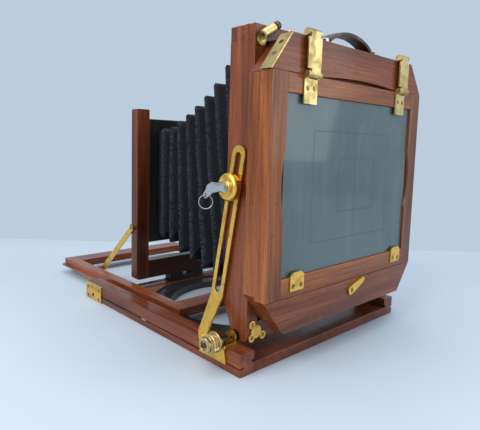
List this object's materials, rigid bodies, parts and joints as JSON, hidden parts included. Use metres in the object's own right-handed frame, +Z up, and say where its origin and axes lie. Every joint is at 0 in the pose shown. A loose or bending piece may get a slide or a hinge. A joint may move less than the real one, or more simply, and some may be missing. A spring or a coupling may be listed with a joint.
{
  "type": "wooden field view camera",
  "caption": "Folding wooden view camera with a sliding front extension, tapered pleated bellows, a tilting rear body with slotted brass stays and a removable ground glass back",
  "frame": {"origin": "centre of the tripod turntable and its three leg holes, at the underside of the bed", "axes": "+Z up, the lens looks along -Y, the ground glass faces +Y, and +X is on the left of an operator who stands behind the ground glass"},
  "size_m": [0.3048, 0.4571, 0.3315],
  "materials": {
    "mahogany": "dark polished hardwood",
    "ebonised": "black stained hardwood, satin",
    "plug_wood": "pale hardwood",
    "brass": "aged lacquered brass",
    "dark_brass": "dark patinated brass",
    "steel": "worn nickelled steel",
    "black_metal": "black lacquered metal",
    "bellows_leather": "thin black pleated leather",
    "handle_leather": "dark brown strap leather",
    "clear_glass": "clear coated lens glass",
    "ground_glass": "finely ground, translucent"
  },
  "bodies": {
    "bed": {"bed_board": "mahogany", "bed_rails": "mahogany", "kerf_stops": "plug_wood", "rail_plates": "brass", "bed_screws": "brass", "turntable_clips": "brass", "bellows": "bellows_leather"},
    "turntable": {"turntable_ring": "black_metal"},
    "extension": {"extension_rails": "mahogany", "extension_cross_rails": "mahogany", "front_posts": "mahogany", "front_sill": "mahogany", "foot_block": "ebonised", "extension_pins": "steel", "bellows_board": "ebonised", "strut_screws": "brass"},
    "lens_board": {"lens_panel": "mahogany", "lens_flange": "brass", "lens_flange_screws": "brass", "lens_barrel": "brass", "lens_glasses": "clear_glass"},
    "iris": {"iris_ring": "dark_brass"},
    "strut_left": {"front_strut_left": "brass"},
    "strut_right": {"front_strut_right": "brass"},
    "rear_carriage": {"side_brackets": "brass", "pivot_studs": "dark_brass"},
    "clamp_lower_left": {"lower_knob_left": "brass"},
    "clamp_lower_right": {"lower_knob_right": "brass"},
    "slotted_stay_left": {"stay_left": "brass"},
    "slotted_stay_right": {"stay_right": "brass"},
    "rear_body": {"body_side_left": "mahogany", "body_side_right": "mahogany", "body_top": "mahogany", "body_sill": "mahogany", "bellows_rear_board": "ebonised", "corner_plates": "brass", "corner_plate_screws": "brass", "catch_barrel": "brass", "handle_strap": "handle_leather", "handle_rivets": "brass", "upper_studs": "steel"},
    "bolt": {"catch_bolt": "dark_brass"},
    "clamp_upper_left": {"upper_knob_left": "brass"},
    "clamp_upper_right": {"upper_knob_right": "brass"},
    "tab": {"ring_tab": "steel"},
    "ring": {"split_ring": "steel"},
    "reversing_back": {"back_rails": "mahogany", "back_stiles": "mahogany", "back_blocks": "mahogany", "back_screws": "brass", "corner_keeper": "brass", "top_leaves": "brass"},
    "button": {"turn_button": "brass"},
    "straps": {"hinge_straps": "brass"},
    "glass_frame": {"glass_stiles": "mahogany", "glass_rails": "mahogany", "ground_glass": "ground_glass", "glass_clips": "brass", "glass_leaves": "brass", "glass_screws": "brass"}
  },
  "joints": [
    {"name": "turntable_spin", "type": "hinge", "parent": "bed", "child": "turntable", "pos_m": [0, 0, 0], "axis": [0, 0, 1], "continuous": true},
    {"name": "extension_slide", "type": "slide", "parent": "bed", "child": "extension", "axis": [0, -1, 0], "range_m": [-0.07, 0.04], "deforming": ["bellows"]},
    {"name": "lens_rise", "type": "slide", "parent": "extension", "child": "lens_board", "axis": [0, 0, 1], "range_m": [-0.009, 0.02]},
    {"name": "iris_turn", "type": "hinge", "parent": "lens_board", "child": "iris", "pos_m": [0, -0.136, 0.152], "axis": [0, -1, 0], "range_deg": [-60, 60]},
    {"name": "strut_left_swing", "type": "hinge", "parent": "extension", "child": "strut_left", "pos_m": [0.0851, -0.1205, 0.094], "axis": [-1, 0, 0], "range_deg": [0, 100]},
    {"name": "strut_right_swing", "type": "hinge", "parent": "extension", "child": "strut_right", "pos_m": [-0.0851, -0.1205, 0.094], "axis": [-1, 0, 0], "range_deg": [0, 100]},
    {"name": "rear_slide", "type": "slide", "parent": "bed", "child": "rear_carriage", "axis": [0, -1, 0], "range_m": [-0.008, 0.015], "deforming": ["bellows"]},
    {"name": "rear_tilt", "type": "hinge", "parent": "rear_carriage", "child": "rear_body", "pos_m": [0, 0.112, 0.027], "axis": [1, 0, 0], "range_deg": [-5, 5], "deforming": ["bellows"]},
    {"name": "stay_left_swing", "type": "hinge", "parent": "rear_carriage", "child": "slotted_stay_left", "pos_m": [0.1355, 0.092, 0.0245], "axis": [1, 0, 0], "range_deg": [-5, 5]},
    {"name": "stay_right_swing", "type": "hinge", "parent": "rear_carriage", "child": "slotted_stay_right", "pos_m": [-0.1355, 0.092, 0.0245], "axis": [1, 0, 0], "range_deg": [-5, 5]},
    {"name": "lower_clamp_left", "type": "hinge", "parent": "rear_carriage", "child": "clamp_lower_left", "pos_m": [0.1445, 0.112, 0.027], "axis": [1, 0, 0], "continuous": true},
    {"name": "lower_clamp_right", "type": "hinge", "parent": "rear_carriage", "child": "clamp_lower_right", "pos_m": [-0.1445, 0.112, 0.027], "axis": [1, 0, 0], "continuous": true},
    {"name": "upper_clamp_left", "type": "hinge", "parent": "rear_body", "child": "clamp_upper_left", "pos_m": [0.122, 0.1078, 0.168], "axis": [1, 0, 0], "continuous": true},
    {"name": "upper_clamp_right", "type": "hinge", "parent": "rear_body", "child": "clamp_upper_right", "pos_m": [-0.122, 0.1078, 0.168], "axis": [1, 0, 0], "continuous": true},
    {"name": "tab_swing", "type": "hinge", "parent": "rear_body", "child": "tab", "pos_m": [0.1285, 0.1078, 0.168], "axis": [1, 0, 0], "range_deg": [-60, 30]},
    {"name": "ring_swing", "type": "hinge", "parent": "tab", "child": "ring", "pos_m": [0.1285, 0.0826, 0.1586], "axis": [1, 0, 0], "range_deg": [-45, 45]},
    {"name": "catch_slide", "type": "slide", "parent": "rear_body", "child": "bolt", "axis": [-0.8423, 0, 0.539], "range_m": [0, 0.005]},
    {"name": "back_release", "type": "hinge", "parent": "rear_body", "child": "reversing_back", "pos_m": [0, 0.1265, 0.042], "axis": [-1, 0, 0], "range_deg": [0, 15]},
    {"name": "button_turn", "type": "hinge", "parent": "reversing_back", "child": "button", "pos_m": [-0.003, 0.1618, 0.0607], "axis": [0, -1, 0], "range_deg": [0, 110]},
    {"name": "strap_swing", "type": "hinge", "parent": "reversing_back", "child": "straps", "pos_m": [0, 0.1622, 0.3042], "axis": [1, 0, 0], "range_deg": [0, 60]},
    {"name": "glass_swing", "type": "hinge", "parent": "straps", "child": "glass_frame", "pos_m": [0, 0.164, 0.2686], "axis": [1, 0, 0], "range_deg": [0, 90]}
  ],
  "couplings": [
    {"joint": "stay_left_swing", "follows": "rear_tilt", "ratio": 0.9676},
    {"joint": "stay_right_swing", "follows": "rear_tilt", "ratio": 0.9676}
  ]
}
